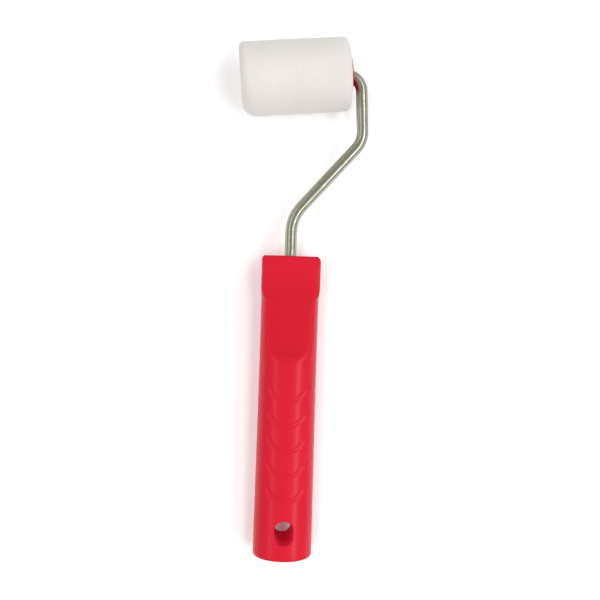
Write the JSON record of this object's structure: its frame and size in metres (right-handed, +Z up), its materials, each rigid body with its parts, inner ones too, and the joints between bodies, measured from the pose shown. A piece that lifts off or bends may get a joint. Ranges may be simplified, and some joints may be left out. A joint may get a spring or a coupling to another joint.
{
  "type": "paint roller",
  "caption": "Mini foam paint roller: a cranked zinc-plated rod in a red moulded grip with a hanging slot, and a white foam sleeve that spins freely on the rod's tip.",
  "frame": {"origin": "on the bench, under the middle of the tool's outline, as it lies at rest on its sleeve and on the butt of its grip", "axes": "+Y along the grip towards the sleeve, +X towards the cranked side of the rod, +Z up"},
  "size_m": [0.0615, 0.2436, 0.0339],
  "materials": {
    "grip_plastic": "satin",
    "hub_plastic": "satin",
    "plated_rod": "satin",
    "spring_steel": "satin",
    "foam": "matte",
    "core_plastic": "satin",
    "washer_plastic": "satin"
  },
  "bodies": {
    "frame": {"grip_body": "grip_plastic", "grip_plug": "grip_plastic", "wire_frame": "plated_rod", "thrust_washer": "washer_plastic", "push_nut": "spring_steel"},
    "roller": {"foam_cover": "foam", "core_tube": "core_plastic", "inner_hub": "hub_plastic", "outer_hub": "hub_plastic", "outer_end_cap": "hub_plastic"}
  },
  "joints": [
    {"name": "roller_spin", "type": "hinge", "parent": "frame", "child": "roller", "pos_m": [-0.00434, 0.10308, 0.01695], "axis": [0.996, 0.0898, 0], "continuous": true}
  ]
}
